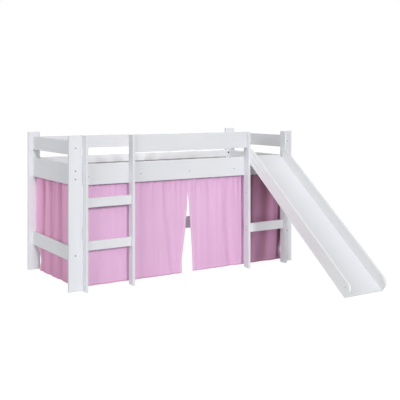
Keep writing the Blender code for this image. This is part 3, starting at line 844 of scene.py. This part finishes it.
def sheet_faces(row_count, column_count):
    """Faces of two skins, one behind the other, and of the rim between them."""
    total = row_count * column_count

    def index(layer, row, column):
        return layer * total + row * column_count + column

    faces = []
    for layer in (0, 1):
        for row in range(row_count - 1):
            for column in range(column_count - 1):
                faces.append((
                    index(layer, row, column),
                    index(layer, row, column + 1),
                    index(layer, row + 1, column + 1),
                    index(layer, row + 1, column),
                ))
    for row in range(row_count - 1):
        for column in (0, column_count - 1):
            faces.append((
                index(0, row, column),
                index(0, row + 1, column),
                index(1, row + 1, column),
                index(1, row, column),
            ))
    for column in range(column_count - 1):
        for row in (0, row_count - 1):
            faces.append((
                index(0, row, column),
                index(0, row, column + 1),
                index(1, row, column + 1),
                index(1, row, column),
            ))
    return faces


def curtain(kind, plan):
    """One curtain as a thin closed sheet, thicker along its sewn hems, in its node's place."""
    node = f"curtain_{kind}"
    rows, full_drop = curtain_rows(node, plan)
    seam_drop = full_drop - HEM_HEIGHT
    outward = plan["outward"]
    across = "y" if plan["axis"] == "X" else "x"
    strip_face = face_of(plan["strip"], across, -outward)
    points = []
    places = []
    marks = {"seam": [], "doubled": [], "crease_shade": []}
    for layer in (0, 1):
        for drop, heights, along, depth, crease_shade in rows:
            lengths = row_lengths(along, depth)
            from_side = np.minimum(lengths, lengths[-1] - lengths)
            in_end_hem = (drop > seam_drop - HEM_SLACK) | (drop < HEM_HEIGHT)
            in_hem = (from_side < SIDE_HEM) | in_end_hem
            on_side_seam = np.abs(from_side - SIDE_HEM) < SIDE_SEAM_HALF
            on_seam = (abs(drop - seam_drop) < SEAM_HALF / 2) | on_side_seam
            thick = CLOTH_THICK + np.where(in_hem, HEM_EXTRA, 0.0)
            skin = CLOTH_GAP + depth + layer * thick
            for spot, off, height in zip(along, skin, heights):
                side = strip_face - outward * off
                points.append((spot, side, height) if across == "y" else (side, spot, height))
            places.extend((length, drop, 0.0) for length in lengths)
            marks["seam"].extend(on_seam.astype(float))
            marks["doubled"].extend(in_hem.astype(float))
            marks["crease_shade"].extend(crease_shade)
    faces = sheet_faces(len(rows), len(rows[0][1]))
    material = plan["material"]
    piece = mesh_piece(f"cloth_{kind}", points, faces, material, CLOTH_SMOOTH_ANGLE)
    cloth = piece.data.attributes.new("cloth", "FLOAT_VECTOR", "POINT")
    cloth.data.foreach_set("vector", np.array(places, np.float32).ravel())
    for label, values in marks.items():
        mark = piece.data.attributes.new(label, "FLOAT", "POINT")
        mark.data.foreach_set("value", np.array(values, np.float32))
    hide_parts(node)
    widest = max(float(row_lengths(row[2], row[3])[-1]) for row in rows)
    return piece, (round(widest, 3), round(full_drop, 3))


def hang_curtains():
    for kind, plan in CURTAINS.items():
        piece, flat = curtain(kind, plan)


# Bolts, screws and caps

# Points in a ring, sides of a hexagon socket, and the angle up to which heads are shaded smooth
RING_SIDES = 24
HEX_SIDES = 6
BOLT_SMOOTH_ANGLE = 35.0

# Bolt and screw heads: the radius of the head and of its socket, its depth and its height
RAIL_SCREW_HEAD = (0.0056, 0.0024, 0.0016, 0.0006)
STILE_SCREW_HEAD = (0.0038, 0.0014, 0.0010, 0.0005)
INNER_BOLT_HEAD = (0.0075, 0.0030, 0.0005, 0.0050)

# The posts' bolts: the radii of head and socket, how far they sink into a seat or stand up
# without one, their depth in a seat, and half the distance of the pair at the bed board
POST_BOLT_RADII = (0.0066, 0.0026)
BOLT_SINK = 0.0008
BOLT_LIFT = 0.0014
BOLT_UNDER = 0.0030
BOLT_PAIR_HALF = 0.0295

# The rails' screws: how many, the first one's place from the bed's left end, their distance, and
# how far they lie under the cleat's top
RAIL_SCREWS = 5
RAIL_SCREW_START = 0.150
RAIL_SCREW_STEP = 0.430
RAIL_SCREW_DROP = 0.006

# Half the distance of the two screws at each board that the stiles hold
STILE_SCREW_HALF = 0.0145

# The slide's caps: radius and height, how far they lie from the toe, and above the floor
CAP_SIZE = (0.0062, 0.0012)
CAP_FROM_TOE = 0.038
CAP_LEVEL = 0.079

# The bolts on the back posts' inner faces: how far from the posts' middles, and above the floor
INNER_BOLT_SHIFT = 0.0243
INNER_BOLT_LEVEL = 0.889


def ring_radius(radius, turn, hexagonal):
    """How far a ring's point lies from the middle. A hexagon's sides lie at its radius."""
    if not hexagonal:
        return radius
    side = math.tau / HEX_SIDES
    return radius / math.cos((turn % side) - side / 2)


def turned_piece(name, profile, spot, facing, material=STEEL_FINISH):
    """A closed piece turned from (radius, height, hexagonal) rings, facing a direction."""
    turned = Vector(facing).to_track_quat("Z", "Y").to_matrix().to_4x4()
    place = Matrix.Translation(spot) @ turned
    points = []
    for radius, height, hexagonal in profile:
        for step in range(RING_SIDES):
            turn = math.tau * step / RING_SIDES
            reach = ring_radius(radius, turn, hexagonal)
            points.append(place @ Vector((reach * math.cos(turn), reach * math.sin(turn), height)))
    faces = []
    for start in range(0, len(points) - RING_SIDES, RING_SIDES):
        for step in range(RING_SIDES):
            after = (step + 1) % RING_SIDES
            faces.append((
                start + step,
                start + after,
                start + RING_SIDES + after,
                start + RING_SIDES + step,
            ))
    faces.append(tuple(range(RING_SIDES)))
    faces.append(tuple(range(len(points) - RING_SIDES, len(points))))
    return mesh_piece(name, points, faces, material, BOLT_SMOOTH_ANGLE)


def socket_head(radius, socket, under, over):
    """Rings of a round head with a hexagon socket. under and over are its depth and height."""
    soft = radius * 0.12
    return (
        # The wall and the rounded rim
        (radius * 0.98, -under, False),
        (radius, over - soft, False),
        (radius - soft * 0.3, over - soft * 0.3, False),
        (radius - soft, over, False),
        # The socket, from its mouth to its floor
        (socket * 1.12, over, True),
        (socket, over - socket * 0.12, True),
        (socket, over - under * 0.75, True),
        (socket * 0.4, over - under * 0.9, True),
    )


def cap_rings(radius, height):
    """Rings of a shallow domed cap."""
    return (
        (radius, -height, False),
        (radius, height * 0.4, False),
        (radius * 0.92, height * 0.75, False),
        (radius * 0.6, height * 0.95, False),
        (radius * 0.15, height, False),
    )


def post_bolts():
    """Bolts in the posts, which hold the end boards. The guard's bolts lie on the surface."""
    rail = middle("end_rail_left").z
    seated = (middle("end_low_board_left").z, rail - BOLT_PAIR_HALF, rail + BOLT_PAIR_HALF)
    plans = [(height, -BOLT_SINK, BOLT_UNDER) for height in seated]
    plans.append((middle("end_guard_left").z, BOLT_LIFT, BOLT_LIFT))
    for row, facing in (("front", -1.0), ("back", 1.0)):
        for side in ("left", "right"):
            post = f"post_{row}_{side}"
            face = face_of(post, "y", facing)
            for number, (height, lift, under) in enumerate(plans):
                turned_piece(
                    f"bolt_{row}_{side}_{number + 1}",
                    socket_head(*POST_BOLT_RADII, under, 0.0),
                    (middle(post).x, face + facing * lift, height),
                    (0.0, facing, 0.0),
                )


def rail_screws():
    """Screws through the bed rails into the slat cleats."""
    height = high("slat_cleat_front").z - RAIL_SCREW_DROP
    for row, facing in (("front", -1.0), ("back", 1.0)):
        face = face_of(f"bed_rail_{row}", "y", facing)
        for number in range(RAIL_SCREWS):
            along = BED_LEFT + RAIL_SCREW_START + RAIL_SCREW_STEP * number
            turned_piece(
                f"rail_screw_{row}_{number + 1}",
                socket_head(*RAIL_SCREW_HEAD),
                (along, face, height),
                (0.0, facing, 0.0),
            )


def stile_screws():
    """Screws through the stiles into the rungs, the crossbar and the front guard."""
    depth = middle("ladder_rung_1").y
    ladder = [middle("ladder_rung_1").z, middle("ladder_rung_2").z]
    slide = [middle("slide_crossbar").z, middle("ladder_rung_2").z]
    guard = [middle("front_guard").z]
    plans = (
        ("ladder_stile_left", "out", -1.0, ladder),
        ("ladder_stile_right", "out", 1.0, ladder),
        ("slide_stile_left", "out", -1.0, slide),
        ("slide_stile_right", "out", 1.0, slide),
        ("ladder_stile_right", "in", -1.0, guard),
        ("slide_stile_left", "in", 1.0, guard),
    )
    for stile, side, facing, levels in plans:
        face = face_of(stile, "x", facing)
        for level, height in enumerate(levels):
            for number, shift in enumerate((-STILE_SCREW_HALF, STILE_SCREW_HALF)):
                turned_piece(
                    f"screw_{stile}_{side}_{level + 1}{number + 1}",
                    socket_head(*STILE_SCREW_HEAD),
                    (face, depth, height + shift),
                    (facing, 0.0, 0.0),
                )


def slide_caps():
    """Caps on the outer faces of the flanks, near the toe."""
    for side, facing in (("left", -1.0), ("right", 1.0)):
        flank = f"slide_flank_{side}"
        turned_piece(
            f"slide_cap_{side}",
            cap_rings(*CAP_SIZE),
            (face_of(flank, "x", facing), low(flank).y + CAP_FROM_TOE, CAP_LEVEL),
            (facing, 0.0, 0.0),
            CAP_FINISH,
        )


def inner_bolts():
    """Bolts on the inner faces of the back posts, above the bed rail."""
    for side, shift in (("left", INNER_BOLT_SHIFT), ("right", -INNER_BOLT_SHIFT)):
        post = f"post_back_{side}"
        turned_piece(
            f"inner_bolt_{side}",
            socket_head(*INNER_BOLT_HEAD),
            (middle(post).x + shift, low(post).y, INNER_BOLT_LEVEL),
            (0.0, -1.0, 0.0),
            BLACK_FINISH,
        )


# Camera, light and floor

# The camera that was solved from the photograph, in pixels of a square picture
PICTURE_SIDE = 400.0
FOCAL_PIXELS = 727.5
HORIZON_ROW = 104.8
SENSOR = 36.0
CAMERA_SPOT = (-3.0365, -4.7101, 1.3432)
CAMERA_TURN = -0.5693
CAMERA_LEVEL = math.radians(90.0)
CAMERA_NEAR = 0.05
CAMERA_FAR = 200.0

# Far lamps: the azimuth from the front to the left, the elevation and the width in degrees, and
# the strength
FAR_LAMPS = (
    ("key", 6.0, 18.0, 9.0, 1.57),
    ("left_fill", 64.0, 20.0, 42.0, 1.13),
    ("side_fill", 90.0, 25.0, 40.0, 0.25),
    ("right_fill", -22.0, 20.0, 25.0, 0.30),
    ("back_fill", -135.0, 14.0, 40.0, 0.90),
)

# Small lamps for the light that the floor throws back: the place, the point faced, the side and
# the power
NEAR_LAMPS = (
    ("slit_fill", (-0.1, 0.45, 0.6), (0.0, 1.02, 0.26), 0.3, 2.2),
    ("under_fill", (0.80, -0.42, 0.17), (0.80, 0.13, 0.26), 0.3, 0.44),
)

WHITE = (1.0, 1.0, 1.0, 1.0)
WORLD_LEVEL = 0.22

# The floor's reach and its gap under the posts, its glow to look at, the grey that shadows show
# on, and the grey that lights the bed from below
FLOOR_REACH = 30.0
FLOOR_GAP = 0.0003
FLOOR_GLOW = 0.90
FLOOR_FAINT = (0.22, 0.22, 0.22, 1.0)
FLOOR_BOUNCE = (0.50, 0.50, 0.50, 1.0)


def place_camera():
    """A level camera, lowered on its film so that uprights stay upright."""
    data = bpy.data.cameras.new("camera")
    data.sensor_width = SENSOR
    data.lens = FOCAL_PIXELS * SENSOR / PICTURE_SIDE
    data.shift_y = (HORIZON_ROW - PICTURE_SIDE / 2) / PICTURE_SIDE
    data.clip_start = CAMERA_NEAR
    data.clip_end = CAMERA_FAR
    camera = into_scene("camera", data)
    camera.location = CAMERA_SPOT
    camera.rotation_euler = (CAMERA_LEVEL, 0.0, CAMERA_TURN)
    bpy.context.scene.camera = camera


def far_lamp(name, azimuth, elevation, width, strength):
    """A soft lamp far away."""
    turn = math.radians(azimuth)
    rise = math.radians(elevation)
    level = math.cos(rise)
    away = Vector((-math.sin(turn) * level, -math.cos(turn) * level, math.sin(rise)))
    data = bpy.data.lights.new(name, "SUN")
    data.energy = strength
    data.angle = math.radians(width)
    lamp = into_scene(name, data)
    lamp.rotation_euler = away.to_track_quat("Z", "Y").to_euler()


def near_lamp(name, spot, target, side, power):
    """A square lamp beside the bed, which faces a point."""
    data = bpy.data.lights.new(name, "AREA")
    data.shape = "SQUARE"
    data.size = side
    data.energy = power
    lamp = into_scene(name, data)
    lamp.location = spot
    lamp.rotation_euler = (Vector(spot) - Vector(target)).to_track_quat("Z", "Y").to_euler()


def seen_directly(recipe):
    """One for rays from the camera and for mirrored or refracted ones, zero for the rest."""
    path = recipe.add("LightPath").outputs
    total = path["Is Camera Ray"]
    for name in ("Is Glossy Ray", "Is Transmission Ray"):
        total = recipe.maths("MAXIMUM", total, path[name])
    return total


def light_world():
    """White to look at, with a dim light that is the same from all sides."""
    world = bpy.data.worlds.new("studio")
    bpy.context.scene.world = world
    recipe = Recipe(world)
    levels = {"Factor": seen_directly(recipe), "A": WORLD_LEVEL, "B": 1.0}
    strength = recipe.add("Mix", levels).outputs["Result"]
    recipe.fill(recipe.tree.nodes["Background"], {"Color": WHITE, "Strength": strength})


def lay_floor():
    """A pale floor: white to look at where no shadow lies on it."""
    reach = FLOOR_REACH
    corners = [(-reach, -reach, 0.0), (reach, -reach, 0.0), (reach, reach, 0.0), (-reach, reach, 0.0)]
    mesh = bpy.data.meshes.new("floor")
    mesh.from_pydata(corners, [], [(0, 1, 2, 3)])
    floor = into_scene("floor", mesh)
    floor.location.z = -FLOOR_GAP
    recipe = material_recipe("floor_white")
    recipe.tree.nodes.clear()
    bounce = recipe.add("BsdfDiffuse", {"Color": FLOOR_BOUNCE}).outputs[0]
    faint = recipe.add("BsdfDiffuse", {"Color": FLOOR_FAINT}).outputs[0]
    glow = recipe.add("Emission", {"Strength": FLOOR_GLOW}).outputs[0]
    shown = recipe.add("AddShader", {0: faint, 1: glow}).outputs[0]
    surface = recipe.add("MixShader", {0: seen_directly(recipe), 1: bounce, 2: shown}).outputs[0]
    recipe.add("OutputMaterial", {"Surface": surface})
    mesh.materials.append(recipe.owner)


bpy.context.scene.view_settings.view_transform = "Standard"
place_camera()
light_world()
lay_floor()
for lamp_plan in FAR_LAMPS:
    far_lamp(*lamp_plan)
for lamp_plan in NEAR_LAMPS:
    near_lamp(*lamp_plan)
dress_frame()
hang_curtains()
post_bolts()
rail_screws()
stile_screws()
slide_caps()
inner_bolts()
